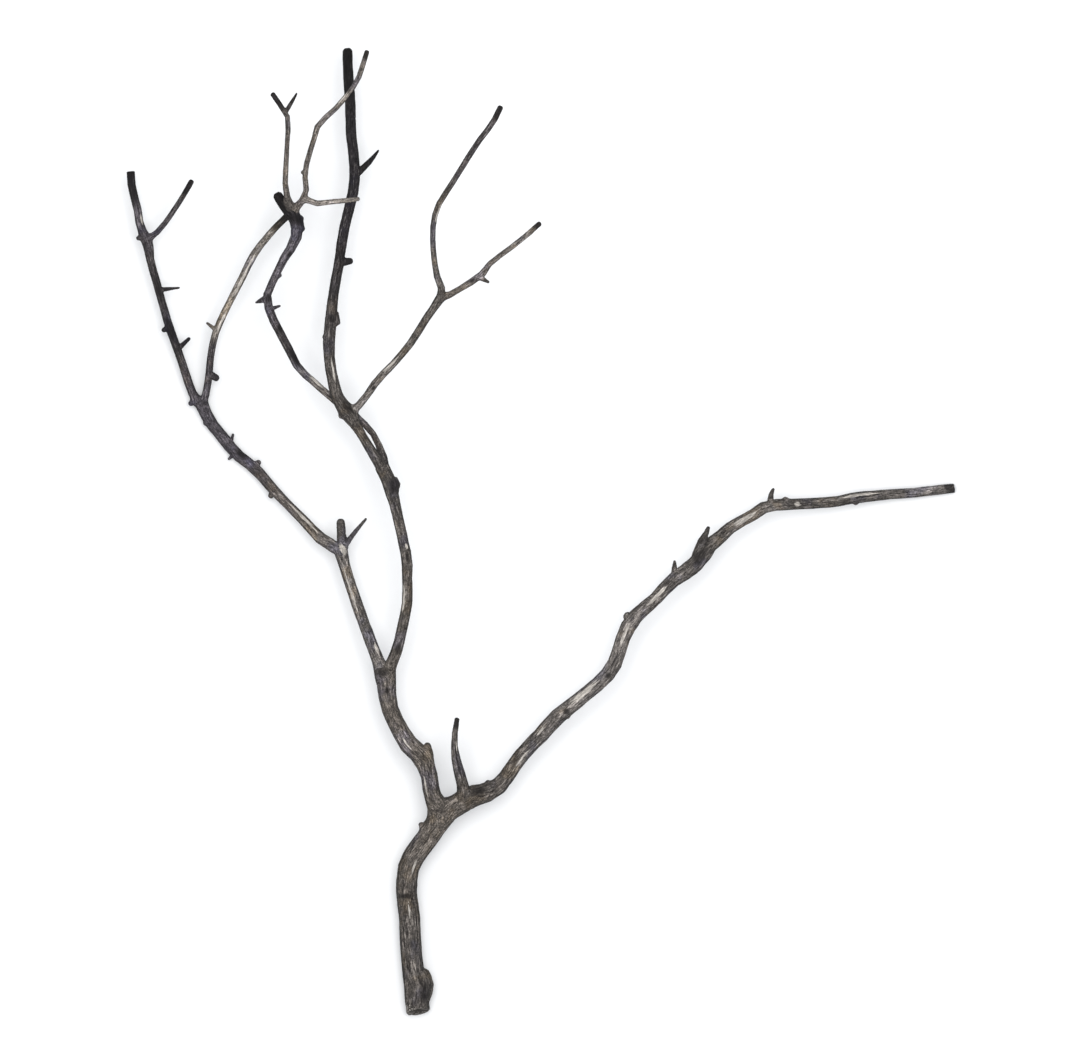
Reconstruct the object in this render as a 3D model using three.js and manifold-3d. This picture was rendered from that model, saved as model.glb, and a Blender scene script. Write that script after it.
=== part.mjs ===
// A fallen tree branch, lying on the ground: the sawn stem, two main limbs, and the boughs, the
// leader and the twigs that grow from them. Millimetres, +Z up. +Y runs from the sawn butt to the
// top, +X to the right limb's end, and the origin is under the middle of the whole branch.
import * as THREE from 'three';
import { mergeVertices } from 'three/addons/utils/BufferGeometryUtils.js';
import Module from 'manifold-3d';

const wasm = await Module();
wasm.setup();

// Driving dimensions, mm
const FORK_GAP = 0.3;            // clearance between two limbs that meet at a fork
const RING_SPACING = 13;         // length of one facet along a limb
const SPUR_SPACING = 7;          // length of one facet along a spur or a knob
const LIMB_SIDES = 8;
const STEM_SIDES = 10;           // the trunk and the right limb are the thick ones
const SPUR_SIDES = 6;
const TIP_ROUND = 0.6;           // a worn tip narrows to this part of its radius
const BUTT_CUT = {               // the saw cut across the butt, a little oblique
  point: [-124, -488, 12],
  outwards: [0.21, -0.96, 0.17],
  depth: 40,
  width: 80,
};

// The wood's finishes: colour and roughness
const FINISHES = {
  greyBark: { colour: 0x5d5853, roughness: 0.85 },
  bareWood: { colour: 0x7d756c, roughness: 0.8 },
  duskyBark: { colour: 0x4a4648, roughness: 0.82 },
  blackBark: { colour: 0x2f2c2c, roughness: 0.78 },
};

// ---- limb shapes: a route of [x, y, z, radius] points along the middle of the wood, then spurs ----

function trunkShape() {
  return {
    sides: STEM_SIDES,
    cutEnd: true,
    route: [[-123, -501, 11.5, 12.3], [-124, -475, 12.4, 12.2], [-128, -442, 14, 10.7],
      [-131, -399, 17, 10.4], [-134, -359, 20, 10.3], [-131, -339, 23, 10.6], [-120, -321, 26, 11.2],
      [-107.6, -304, 31, 10.8], [-98, -286, 36, 14]],
    spurs: {
      sideKnob: [[-113, -316, 29, 5], [-120, -296, 33, 3]],
      bulge: [[-121, -477, 13, 9], [-117, -460, 13.5, 9.8], [-122, -444, 14, 9]],
    },
  };
}

function leftLimbShape() {
  return {
    cutEnd: true,
    route: [[-99, -286, 36, 10.5], [-108, -271, 39, 8.6], [-111, -250, 43, 8.2],
      [-119, -230, 46, 9.6], [-132, -217, 48, 9.2], [-142, -200, 49, 8.2], [-151, -179, 50, 8.2],
      [-153.5, -159, 50, 9.6], [-154.5, -143, 50, 10.8]],
    spurs: {
      brokenStub: [[-113, -240, 45, 7.4], [-112.8, -225, 49, 5.8], [-113, -216.4, 50, 3.6]],
    },
  };
}

function leftBoughShape() {
  return {
    cutEnd: true,
    route: [[-156, -148, 50, 7], [-164, -129, 49, 5.9], [-177, -95, 45, 5.6], [-190, -58, 40, 5.5],
      [-197, -35, 36, 5.7], [-201, -22, 33, 7], [-215, -16, 29, 6], [-239, 8, 21, 5],
      [-256, 25, 16, 4.7], [-271, 41, 12, 5.3], [-287, 59, 9, 5.6], [-304, 72, 7.6, 5.8],
      [-319, 90, 6.8, 5.8], [-332, 106, 6.6, 6.2], [-340, 124, 8, 6.6]],
    spurs: {
      cutStub: [[-198, -22, 34, 5.8], [-199, -7, 38, 4.5], [-200, 7, 41, 3.8]],
      sideSpur: [[-197, -21, 35, 3.2], [-185, -5, 38, 2], [-174, 8, 40, 1.1]],
      bud: [[-311, 81, 8, 2.4], [-308, 93, 9, 1]],
      thorn: [[-303, 77, 7.6, 3.4], [-313, 67, 6, 1.2]],
      bump: [[-287, 60, 9, 4.6], [-281, 66, 10, 2.6]],
      knob: [[-265, 39, 13, 4.4], [-271, 29, 11, 2.6]],
      corner: [[-330, 107, 7, 4.4], [-338, 102, 6.4, 1.8]],
    },
  };
}

function farLeftTwigShape() {
  return {
    route: [[-342, 123, 8.6, 5], [-349, 134, 11, 4.2], [-358, 161, 15, 4], [-366, 184, 19, 4],
      [-372, 201, 21, 4.2], [-377, 218, 23, 4], [-383, 240, 26, 4], [-390, 265, 29, 3.8],
      [-393, 284, 31, 5.2], [-400, 299, 32, 4.2], [-403, 317, 33, 4], [-409, 341, 34, 4],
      [-410, 355, 35, 3.9]],
    cutEnd: true,
    spurs: {
      thorn: [[-381, 237, 26, 2.4], [-361, 239, 29, 0.9]],
      knob: [[-373, 199, 21, 3.2], [-379, 196, 21, 2]],
      sideSpur: [[-364, 177, 18, 3], [-351, 189, 21, 1.7]],
      baseKnob: [[-344, 129, 10, 4], [-352, 122, 9, 2.4]],
      forkKnob: [[-395, 291, 31, 3.4], [-404, 288, 31, 2]],
    },
  };
}

function farLeftSideTwigShape() {
  return {
    route: [[-393, 287, 31, 3.4], [-381.4, 296.4, 34, 2.7], [-369.2, 312.4, 39, 2.6], [-358.4, 328.4, 44, 2.5],
      [-348, 346, 49, 2.6]],
    spurs: {},
  };
}

function innerLeftTwigShape() {
  return {
    route: [[-339, 121, 9, 4.4], [-335, 134, 14, 3.6], [-332, 152, 20, 3.5], [-330, 171, 25, 3.4],
      [-326, 191, 30, 3.5], [-319, 208, 35, 3.5], [-309, 228, 40, 3.5], [-298, 249, 44, 3.5],
      [-288, 269, 48, 3.6], [-278, 283, 51, 3.4], [-265, 298, 53, 3.4], [-252, 311, 55, 3.4]],
    spurs: {
      sideSpur: [[-324, 196, 31, 2.4], [-334, 204, 34, 1.2]],
      ovalStub: [[-330, 152, 20, 3.6], [-322.6, 147.5, 22, 3.2]],
    },
  };
}

function centreLimbShape() {
  return {
    cutEnd: true,
    route: [[-155, -149, 50, 7.5], [-148, -136, 52, 6], [-142, -119, 55, 5.4], [-137, -97, 59, 5.2],
      [-133, -76, 62, 5.1], [-133, -51, 65, 5], [-133, -34, 67, 5.6], [-136, -18, 69, 5.1],
      [-142, 8, 71, 5.2], [-146, 26, 73, 5.8], [-149, 37, 74, 6.8], [-153, 50, 75, 7.2],
      [-158, 60, 75.5, 7.4]],
    spurs: {
      knot: [[-149, 32, 74, 6.4], [-144, 40, 75, 5], [-149, 48, 75, 6]],
    },
  };
}

function leaderShape() {
  return {
    route: [[-156, 56, 75.5, 6.6], [-165.6, 71.4, 75, 5.2], [-174.2, 84.6, 74, 4.2], [-183, 99.6, 73, 5],
      [-192, 114, 71.5, 8.2], [-201, 125, 70, 6.2], [-206, 142, 68, 5.7], [-210, 162, 66, 5.6],
      [-211, 183, 64, 5.8], [-209, 208, 61, 5.6], [-206, 236, 58, 4.9], [-201, 264, 55, 5],
      [-197, 292, 53, 5.2], [-191, 318, 51, 5.2], [-186, 341, 50, 5.3], [-186, 366, 49, 5.3],
      [-189, 389, 48, 5.1], [-190, 421, 47, 5.1], [-192, 451, 46, 5.1], [-193, 478, 45, 4.9]],
    spurs: {
      rightKnob: [[-200, 264, 56, 4.6], [-187.4, 265.4, 57, 3]],
      knot: [[-209, 202, 61, 5], [-203, 206, 62, 4.2], [-207, 213, 60, 5]],
      leftBump: [[-211, 188, 64, 5], [-217, 190, 64, 2.4]],
      baseKnob: [[-193, 114, 71, 5.4], [-201, 109, 71, 2.8]],
      sideSpur: [[-186, 350, 50, 3.9], [-170.5, 364.6, 54, 2.8], [-161.4, 376, 57, 1.1]],
    },
  };
}

function rearLimbShape() {
  return {
    route: [[-155, 56, 70, 5], [-155.4, 64, 69, 4.4], [-158.6, 74.6, 67.5, 3.7],
      [-162.6, 84.4, 66.4, 3.1], [-167.4, 93, 65.4, 3], [-174, 100.6, 64.4, 3.2],
      [-181, 108, 63.4, 3.4], [-193, 116.6, 62.4, 3.5], [-209, 129, 63, 3.5], [-226, 144, 65, 3.6],
      [-241, 158, 69, 3.8], [-251, 177, 73, 4.1], [-261, 196, 77, 4.1], [-270, 215, 80, 4.2],
      [-272, 232, 82, 4], [-265, 247, 84.5, 3.9], [-257, 264, 87, 4.3], [-247, 280, 89, 4.9],
      [-242, 293, 90, 5.8], [-243, 306, 90.5, 6.8], [-249, 315, 91, 6]],
    spurs: {
      fatStub: [[-248, 311, 90.5, 5.8], [-256, 321, 89, 5.2], [-263, 332, 88, 4.7]],
      thorn: [[-272.4, 227.4, 81, 4.2], [-284, 223, 80, 0.9]],
      sideSpur: [[-271, 216, 80, 2.6], [-259, 220, 83, 1.1]],
      bump: [[-264, 249, 84, 3.4], [-258, 251, 85, 2]],
      upperLump: [[-243, 306, 90.5, 5], [-236, 307, 91, 2.6]],
      lowerLump: [[-242, 296, 90, 5], [-235, 297, 91, 2.6]],
    },
  };
}

function upperLeftTwigShape() {
  return {
    route: [[-248, 316, 92, 4.2], [-252, 328, 94, 3.1], [-254, 342, 96, 2.7], [-253, 362, 98, 2.5],
      [-252, 382, 100, 2.1], [-251, 396, 102, 2.5], [-252, 409, 104, 2.4], [-258, 418, 105, 2.5],
      [-267, 431, 106, 2.4]],
    spurs: {
      thorn: [[-253, 413, 104, 2.2], [-248, 421, 106, 1.9], [-242, 431, 108, 0.9]],
    },
  };
}

function upperRightTwigShape() {
  return {
    route: [[-246, 314, 92, 4.4], [-239, 322, 94, 3.4], [-233, 330, 97, 2.8], [-234, 342, 99, 2.6],
      [-234, 354, 101, 2.6], [-230, 370, 103, 2.5], [-225, 386, 106, 2.4], [-220, 401, 107.5, 2.9],
      [-208, 411, 109, 2.6], [-197, 423, 110, 2.5], [-186, 437, 111, 2.5], [-179, 450, 112, 2.5],
      [-175, 464, 113, 2.5], [-172, 473, 114, 2.3]],
    spurs: {
      knob: [[-234, 353, 101, 2.6], [-238, 352, 101, 1.6]],
    },
  };
}

function crossingTwigShape() {
  return {
    route: [[-235, 326, 96, 3], [-224, 321.6, 98, 2.8], [-209, 323, 100, 2.5], [-193, 324.4, 101, 2.4],
      [-180, 326, 102, 2]],
    spurs: {},
  };
}

function rightCentreTwigShape() {
  return {
    cutEnd: true,
    route: [[-191, 112, 71, 5], [-181, 121, 73, 3.8], [-172, 132, 75, 3.5], [-163, 145, 77, 3.8],
      [-145, 164, 81, 3.5], [-129, 183, 85, 3.5], [-117, 202, 89, 3.7], [-106, 218, 92, 3.7],
      [-100, 227, 94, 4.6]],
    spurs: {},
  };
}

function archingTwigShape() {
  return {
    route: [[-100, 225, 94, 4], [-98, 235, 96, 3.6], [-102, 246, 99, 3.2], [-105, 261, 103, 2.8],
      [-107, 285, 110, 2.7], [-106, 304, 115, 2.7], [-101, 320, 120, 2.8], [-90, 337, 125, 2.8],
      [-75, 361, 130, 2.8], [-60, 384, 133, 2.7], [-47, 401, 135, 2.8], [-39, 417, 137, 2.8]],
    spurs: {},
  };
}

function kinkedTwigShape() {
  return {
    route: [[-103, 226, 94, 4], [-92, 230, 94, 3.2], [-79.4, 237, 92, 2.9], [-69.5, 243.2, 90, 3.5],
      [-60, 248.6, 88, 3.9], [-55, 257, 86, 2.8], [-44, 267, 83, 2.6], [-28, 279, 78, 2.5],
      [-12, 292, 73, 2.6], [0, 303, 68, 2.5]],
    spurs: {
      sideSpur: [[-60, 248, 88, 3], [-51, 243, 89, 1.3]],
    },
  };
}

function rightLimbShape() {
  return {
    sides: STEM_SIDES,
    cutEnd: true,
    route: [[-100, -287, 36, 12], [-82, -278, 37.5, 10.8], [-66, -269, 39, 10.6],
      [-51, -265, 40.5, 9.2], [-39, -257, 42, 7.9], [-28, -241, 44, 7.1], [-15, -224, 47, 7.3],
      [1, -208, 50, 7.4], [16, -191, 53, 8], [32, -178, 55, 7.5], [49, -164, 57, 6.8],
      [64, -151, 58, 7.1], [75, -135, 59, 7.2], [80, -118, 59, 7], [87, -101, 59, 7.6],
      [97, -88, 58.5, 7.2], [115, -72, 57, 6.4], [131, -55, 55.5, 7], [147, -44, 54, 7.8],
      [160, -33, 52, 8.4], [167, -21, 50, 7.6], [178, -12, 48, 6.6], [193, 1, 45, 6],
      [210, 10, 42, 5.8], [226, 20, 38.5, 5.9], [245, 22, 34, 5.8], [270, 23, 28, 5.2],
      [295, 25, 22.5, 5], [318, 29, 17.5, 5.6], [348, 32, 11.5, 4.9], [376, 34, 7.4, 4.8],
      [401, 37, 5, 4.8], [415, 38.5, 4.5, 4.5]],
    spurs: {
      bump: [[-53, -262, 41, 6], [-52, -254, 43, 2.6]],
      lowerBump: [[22, -184, 54, 6], [29, -191, 53, 2.6]],
      roundKnob: [[92, -93, 59, 5.6], [84, -88, 60, 3.8]],
      thorn: [[134, -53, 56, 4.6], [134, -43, 58, 2.6], [134, -34, 60, 1.1]],
      bigSpur: [[157, -34, 52, 7], [161, -18, 56, 5], [168, 0, 60, 1.8]],
      hook: [[231, 22, 37, 4], [230, 30, 41, 2.6], [233, 38, 44, 1.1]],
      knob: [[244, 23, 34, 4.6], [246, 29, 36, 3]],
      underKnob: [[318, 29, 17, 4.4], [315, 22, 16, 2.4]],
    },
  };
}

function spurTwigShape() {
  return {
    route: [[-76, -270, 44, 7], [-78, -257, 50, 5.8], [-82, -242, 55, 5.1], [-85, -229, 58.5, 4.3],
      [-86, -215, 61, 2.9], [-85, -203, 63, 2.7], [-83, -191, 65, 2.3]],
    spurs: {},
  };
}

// ---- making the solids ----

// The radius at a length along the limb, eased between the route's own points
function radiusAt(length, route, stations) {
  const next = Math.max(1, stations.findIndex((station) => station >= length));
  const span = stations[next] - stations[next - 1];
  const ease = THREE.MathUtils.smoothstep((length - stations[next - 1]) / span, 0, 1);
  return THREE.MathUtils.lerp(route[next - 1][3], route[next][3], ease);
}

// The turned profile of a straight limb: both ends close on the axis
function limbProfile(route, curve, spacing, grow, cutEnd) {
  const length = curve.getLength();
  const points = route.map(([x, y, z]) => new THREE.Vector3(x, y, z));
  const stations = points.map((point, i) => (i ? point.distanceTo(points[i - 1]) : 0));
  for (let i = 1; i < stations.length; i += 1) stations[i] += stations[i - 1];
  const scale = stations.at(-1) / length;
  const steps = Math.max(2, Math.round(length / spacing));
  const profile = [new THREE.Vector2(0, 0)];
  for (let step = 0; step <= steps; step += 1) {
    const tipLength = cutEnd ? 0 : 0.5 * route.at(-1)[3];
    const along = (length - tipLength) * step / steps;
    profile.push(new THREE.Vector2(radiusAt(along * scale, route, stations) + grow, along));
  }
  const tipRadius = route.at(-1)[3] + grow;
  if (!cutEnd) profile.push(new THREE.Vector2(TIP_ROUND * tipRadius, length));
  profile.push(new THREE.Vector2(0, length));
  return profile;
}

// Bends a turned limb along its curve. Its frame is carried along, so the wood doesn't twist.
function bendAlong(lathe, profile, curve) {
  const length = curve.getLength();
  const position = lathe.getAttribute('position');
  const tangent = curve.getTangentAt(0);
  const across = new THREE.Vector3(0, 0, 1).cross(tangent).normalize();
  const frames = profile.map(({ y }) => {
    const turned = curve.getTangentAt(Math.min(1, y / length));
    across.applyQuaternion(new THREE.Quaternion().setFromUnitVectors(tangent, turned));
    tangent.copy(turned);
    const middle = curve.getPointAt(Math.min(1, y / length));
    return { middle, across: across.clone(), up: turned.clone().cross(across) };
  });
  for (let i = 0; i < position.count; i += 1) {
    const { middle, across: normal, up } = frames[i % profile.length];
    const point = middle.clone().addScaledVector(normal, position.getZ(i));
    point.addScaledVector(up, position.getX(i));
    position.setXYZ(i, point.x, point.y, point.z);
  }
}

function toSolid(geometry) {
  geometry.deleteAttribute('normal');
  geometry.deleteAttribute('uv');
  const merged = mergeVertices(geometry, 1e-3);
  const vertProperties = new Float32Array(merged.getAttribute('position').array);
  const corners = Array.from(merged.getIndex().array);
  const triVerts = [];
  for (let i = 0; i < corners.length; i += 3) {
    const [a, b, c] = corners.slice(i, i + 3);
    if (a !== b && b !== c && c !== a) triVerts.push(a, b, c);
  }
  return new wasm.Manifold(
    new wasm.Mesh({ numProp: 3, vertProperties, triVerts: new Uint32Array(triVerts) }));
}

function bentLimb(route, { sides, spacing, grow = 0, cutEnd = false }) {
  const points = route.map(([x, y, z]) => new THREE.Vector3(x, y, z));
  const curve = new THREE.CatmullRomCurve3(points, false, 'centripetal');
  curve.arcLengthDivisions = 20 * route.length;
  const profile = limbProfile(route, curve, spacing, grow, cutEnd);
  const lathe = new THREE.LatheGeometry(profile, sides);
  bendAlong(lathe, profile, curve);
  return toSolid(lathe);
}

// A limb with all its spurs and knobs joined on; grow thickens everything evenly
function limbSolid(shape, grow = 0) {
  const { route, spurs, sides = LIMB_SIDES, cutEnd } = shape();
  let solid = bentLimb(route, { sides, spacing: RING_SPACING, grow, cutEnd });
  for (const spur of Object.values(spurs)) {
    solid = solid.add(bentLimb(spur, { sides: SPUR_SIDES, spacing: SPUR_SPACING, grow }));
  }
  return solid;
}

// The young limb is cut back where the older ones hold it, and keeps its own largest piece
function growsFrom(shape, ...olderShapes) {
  let solid = limbSolid(shape);
  for (const older of olderShapes) solid = solid.subtract(limbSolid(older, FORK_GAP));
  const pieces = solid.decompose();
  return pieces.reduce((most, piece) => (piece.volume() > most.volume() ? piece : most));
}

function sawnTrunk() {
  const { point, outwards, depth, width } = BUTT_CUT;
  const waste = new THREE.BoxGeometry(width, width, depth);
  waste.translate(0, 0, depth / 2);
  const direction = new THREE.Vector3(...outwards).normalize();
  waste.applyQuaternion(
    new THREE.Quaternion().setFromUnitVectors(new THREE.Vector3(0, 0, 1), direction));
  waste.translate(...point);
  return limbSolid(trunkShape).subtract(toSolid(waste));
}

function toGeometry(solid) {
  const { numProp, vertProperties, triVerts } = solid.getMesh();
  const geometry = new THREE.BufferGeometry();
  geometry.setAttribute('position', new THREE.BufferAttribute(vertProperties, numProp));
  geometry.setIndex(new THREE.BufferAttribute(triVerts, 1));
  return geometry;
}

const branch = new THREE.Group();

function addPiece(name, finish, solid) {
  const { colour, roughness } = FINISHES[finish];
  const material = new THREE.MeshStandardMaterial({ color: colour, roughness, metalness: 0 });
  const mesh = new THREE.Mesh(toGeometry(solid), material);
  mesh.name = name;
  branch.add(mesh);
}

addPiece('trunk', 'greyBark', sawnTrunk());
addPiece('left_limb', 'greyBark', growsFrom(leftLimbShape, trunkShape));
addPiece('left_bough', 'greyBark', growsFrom(leftBoughShape, leftLimbShape));
addPiece('far_left_twig', 'duskyBark', growsFrom(farLeftTwigShape, leftBoughShape));
addPiece('far_left_side_twig', 'duskyBark', growsFrom(farLeftSideTwigShape, farLeftTwigShape));
addPiece('inner_left_twig', 'bareWood',
  growsFrom(innerLeftTwigShape, leftBoughShape, farLeftTwigShape));
addPiece('centre_limb', 'greyBark', growsFrom(centreLimbShape, leftLimbShape, leftBoughShape));
addPiece('leader', 'blackBark', growsFrom(leaderShape, centreLimbShape));
addPiece('rear_limb', 'duskyBark', growsFrom(rearLimbShape, centreLimbShape, leaderShape));
addPiece('upper_left_twig', 'bareWood', growsFrom(upperLeftTwigShape, rearLimbShape));
addPiece('upper_right_twig', 'bareWood',
  growsFrom(upperRightTwigShape, rearLimbShape, upperLeftTwigShape));
addPiece('crossing_twig', 'bareWood', growsFrom(crossingTwigShape, upperRightTwigShape));
addPiece('right_centre_twig', 'bareWood', growsFrom(rightCentreTwigShape, leaderShape));
addPiece('arching_twig', 'duskyBark', growsFrom(archingTwigShape, rightCentreTwigShape));
addPiece('kinked_twig', 'bareWood',
  growsFrom(kinkedTwigShape, rightCentreTwigShape, archingTwigShape));
addPiece('right_limb', 'greyBark', growsFrom(rightLimbShape, trunkShape, leftLimbShape));
addPiece('spur_twig', 'greyBark', growsFrom(spurTwigShape, rightLimbShape));

// The branch lies on the ground with its origin under its middle
const box = new THREE.Box3().setFromObject(branch);
const middle = box.getCenter(new THREE.Vector3());
branch.position.set(-middle.x, -middle.y, -box.min.z);

export default branch;
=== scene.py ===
"""The looks of a fallen tree branch: weathered wood grown over its packed limbs, and a plain stage.

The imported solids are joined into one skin, which is remeshed, rounded at its forks, furrowed along the
grain and then cut into one piece for each limb. Everything is in metres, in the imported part's frame.
"""

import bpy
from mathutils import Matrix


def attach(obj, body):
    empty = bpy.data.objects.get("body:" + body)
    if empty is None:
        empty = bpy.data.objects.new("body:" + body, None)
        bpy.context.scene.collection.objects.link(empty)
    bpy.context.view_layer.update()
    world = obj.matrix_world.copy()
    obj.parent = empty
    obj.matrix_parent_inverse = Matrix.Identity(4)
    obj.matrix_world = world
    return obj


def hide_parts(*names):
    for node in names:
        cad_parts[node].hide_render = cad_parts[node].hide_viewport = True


bl_info = {
    "name": "Fallen tree branch",
    "version": (1, 0, 0),
    "blender": (4, 5, 0),
    "location": "View3D > Sidebar > Branch",
    "description": "Grows weathered wood over the limbs of a fallen branch and sets a plain stage",
    "category": "Object",
}

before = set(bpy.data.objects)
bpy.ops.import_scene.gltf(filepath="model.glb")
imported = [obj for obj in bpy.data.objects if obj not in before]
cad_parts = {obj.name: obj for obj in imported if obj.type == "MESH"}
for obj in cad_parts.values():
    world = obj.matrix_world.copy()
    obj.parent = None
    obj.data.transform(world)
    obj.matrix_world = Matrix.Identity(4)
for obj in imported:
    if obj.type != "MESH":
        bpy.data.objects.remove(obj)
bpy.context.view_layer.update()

import math
from types import SimpleNamespace

import bmesh
import bpy
import numpy as np
from mathutils import Quaternion, Vector, noise
from mathutils.bvhtree import BVHTree

# Which limb each limb grows from. The trunk comes first, and a limb comes after the one it grows from.
GROWS_FROM = {
    "trunk": None,
    "left_limb": "trunk",
    "right_limb": "trunk",
    "spur_twig": "right_limb",
    "left_bough": "left_limb",
    "centre_limb": "left_limb",
    "far_left_twig": "left_bough",
    "far_left_side_twig": "far_left_twig",
    "inner_left_twig": "left_bough",
    "leader": "centre_limb",
    "rear_limb": "centre_limb",
    "right_centre_twig": "leader",
    "arching_twig": "right_centre_twig",
    "kinked_twig": "right_centre_twig",
    "upper_left_twig": "rear_limb",
    "upper_right_twig": "rear_limb",
    "crossing_twig": "upper_right_twig",
}
LIMBS = list(GROWS_FROM)

# The wood's tone along each limb, from its fork (0) to its end (1)
TONES = {
    "trunk": [(0, "grey"), (0.6, "grey"), (0.8, "brown"), (1, "brown")],
    "left_limb": [(0, "brown"), (1, "brown")],
    "right_limb": [(0, "brown"), (0.12, "grey"), (0.22, "silver"), (0.42, "silver"), (0.6, "grey"),
                   (0.68, "silver"), (0.74, "grey"), (0.85, "grey"), (1, "silver")],
    "spur_twig": [(0, "grey"), (1, "grey")],
    "left_bough": [(0, "silver"), (0.4, "silver"), (0.55, "brown"), (0.8, "cool"), (1, "cool")],
    "centre_limb": [(0, "brown"), (0.5, "grey"), (1, "grey")],
    "far_left_twig": [(0, "cool"), (0.22, "dusky"), (0.33, "black"), (0.45, "dusky"), (0.65, "dusky"),
                      (0.85, "cool"), (1, "black")],
    "far_left_side_twig": [(0, "cool"), (0.5, "dusky"), (1, "dusky")],
    "inner_left_twig": [(0, "cool"), (0.25, "dusky"), (0.4, "tan"), (0.9, "tan"), (1, "dusky")],
    "leader": [(0, "grey"), (0.3, "grey"), (0.42, "dusky"), (0.55, "black"), (1, "black")],
    "rear_limb": [(0, "dusky"), (0.25, "brown"), (0.38, "silver"), (0.43, "dusky"), (0.55, "dusky"),
                  (0.62, "cool"), (0.85, "cool"), (0.92, "black"), (1, "black")],
    "right_centre_twig": [(0, "silver"), (0.5, "grey"), (1, "grey")],
    "arching_twig": [(0, "grey"), (0.45, "grey"), (0.7, "dusky"), (1, "dusky")],
    "kinked_twig": [(0, "brown"), (0.5, "brown"), (0.8, "silver"), (1, "grey")],
    "upper_left_twig": [(0, "grey"), (0.4, "brown"), (0.8, "grey"), (1, "dusky")],
    "upper_right_twig": [(0, "brown"), (0.3, "grey"), (0.55, "brown"), (1, "brown")],
    "crossing_twig": [(0, "tan"), (1, "tan")],
}

# Marks on a limb's upper side: (kind, place along it from 0 at its fork to 1 at its end, place across
# it from -1, one edge, to 1, the other, length, width as a share of the limb's)
MARKS = {
    "trunk": [("dark", 0.1, 0.6, 0.03, 0.5), ("bare", 0.48, 0.1, 0.02, 0.12),
              ("dark", 0.55, 0.0, 0.007, 1.2), ("bare", 0.7, 0.4, 0.02, 0.15)],
    "left_limb": [("bare", 0.2, -0.6, 0.03, 0.15), ("bare", 0.5, -0.2, 0.02, 0.15),
                  ("hole", 0.85, 0.0, 0.013, 0.25), ("dark", 0.97, 0.4, 0.014, 1.0)],
    "left_bough": [("bare", 0.06, 0.5, 0.016, 0.4), ("dark", 0.08, 0.0, 0.014, 0.25),
                   ("bare", 0.25, -0.3, 0.06, 0.2), ("bare", 0.37, 0.5, 0.014, 0.7),
                   ("bare", 0.52, 0.4, 0.04, 0.4), ("dark", 0.8, 0.5, 0.02, 0.9)],
    "centre_limb": [("dark", 0.1, 0.1, 0.02, 0.8), ("bare", 0.35, -0.7, 0.04, 0.3),
                    ("hole", 0.55, 0.2, 0.012, 0.3), ("bare", 0.6, 0.4, 0.008, 0.3),
                    ("dark", 0.9, 0.3, 0.024, 1.2)],
    "leader": [("dark", 0.15, 0.5, 0.025, 0.8), ("bare", 0.25, 0.4, 0.04, 0.3),
               ("dark", 0.37, 0.1, 0.012, 0.8), ("dark", 0.52, 0.7, 0.01, 0.8)],
    "rear_limb": [("bare", 0.35, 0.5, 0.02, 0.5), ("dark", 0.45, 0.5, 0.03, 1.0),
                  ("dark", 0.55, 0.5, 0.014, 0.8), ("dark", 0.65, 0.3, 0.014, 1.0),
                  ("dark", 0.8, 0.7, 0.01, 0.8), ("dark", 0.9, 0.6, 0.016, 1.0)],
    "inner_left_twig": [("bare", 0.4, 0.4, 0.03, 0.4), ("bare", 0.65, 0.3, 0.06, 0.4)],
    "far_left_twig": [("dark", 0.33, 0.0, 0.03, 1.2), ("dark", 0.5, 0.0, 0.04, 0.9),
                      ("bare", 0.8, 0.6, 0.014, 0.3)],
    "right_centre_twig": [("dark", 0.2, 0.3, 0.006, 0.6), ("bare", 0.4, -0.3, 0.03, 0.4)],
    "kinked_twig": [("dark", 0.25, 0.0, 0.01, 0.8)],
    "arching_twig": [("bare", 0.4, 0.8, 0.02, 0.4)],
    "upper_right_twig": [("bare", 0.7, -0.6, 0.02, 0.4)],
    "right_limb": [("dark", 0.06, -0.4, 0.024, 0.7), ("bare", 0.15, 0.3, 0.03, 0.2),
                   ("bare", 0.2, -0.4, 0.016, 0.25), ("dark", 0.25, 0.2, 0.008, 0.7),
                   ("bare", 0.29, -0.3, 0.046, 0.45), ("dark", 0.335, 0.2, 0.01, 0.7),
                   ("bare", 0.4, 0.0, 0.03, 0.3), ("bare", 0.48, -0.1, 0.035, 0.45),
                   ("dark", 0.57, -0.1, 0.03, 0.9), ("bare", 0.66, -0.1, 0.034, 0.55),
                   ("bare", 0.75, 0.0, 0.01, 0.6), ("bare", 0.85, -0.5, 0.05, 0.3)],
    "spur_twig": [("hole", 0.4, 0.3, 0.04, 0.16), ("bare", 0.65, 0.6, 0.016, 0.3)],
}

# Length of the blackened end of a limb
BLACK_ENDS = {
    "leader": 0.05, "rear_limb": 0.02, "inner_left_twig": 0.02, "far_left_twig": 0.03,
    "far_left_side_twig": 0.015, "kinked_twig": 0.008, "arching_twig": 0.012, "upper_left_twig": 0.018,
    "upper_right_twig": 0.008, "right_limb": 0.008, "spur_twig": 0.01,
}

STEM_PIECES = ["trunk"]
LIMB_PIECES = ["left_limb", "right_limb", "left_bough", "centre_limb", "leader", "rear_limb"]
TWIG_PIECES = [limb for limb in LIMBS if limb not in STEM_PIECES + LIMB_PIECES]


def colour_setting(name, description, default):
    return bpy.props.FloatVectorProperty(
        name=name, description=description, subtype="COLOR", default=default)


def length_setting(name, description, default):
    return bpy.props.FloatProperty(name=name, description=description, default=default, unit="LENGTH")


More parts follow.
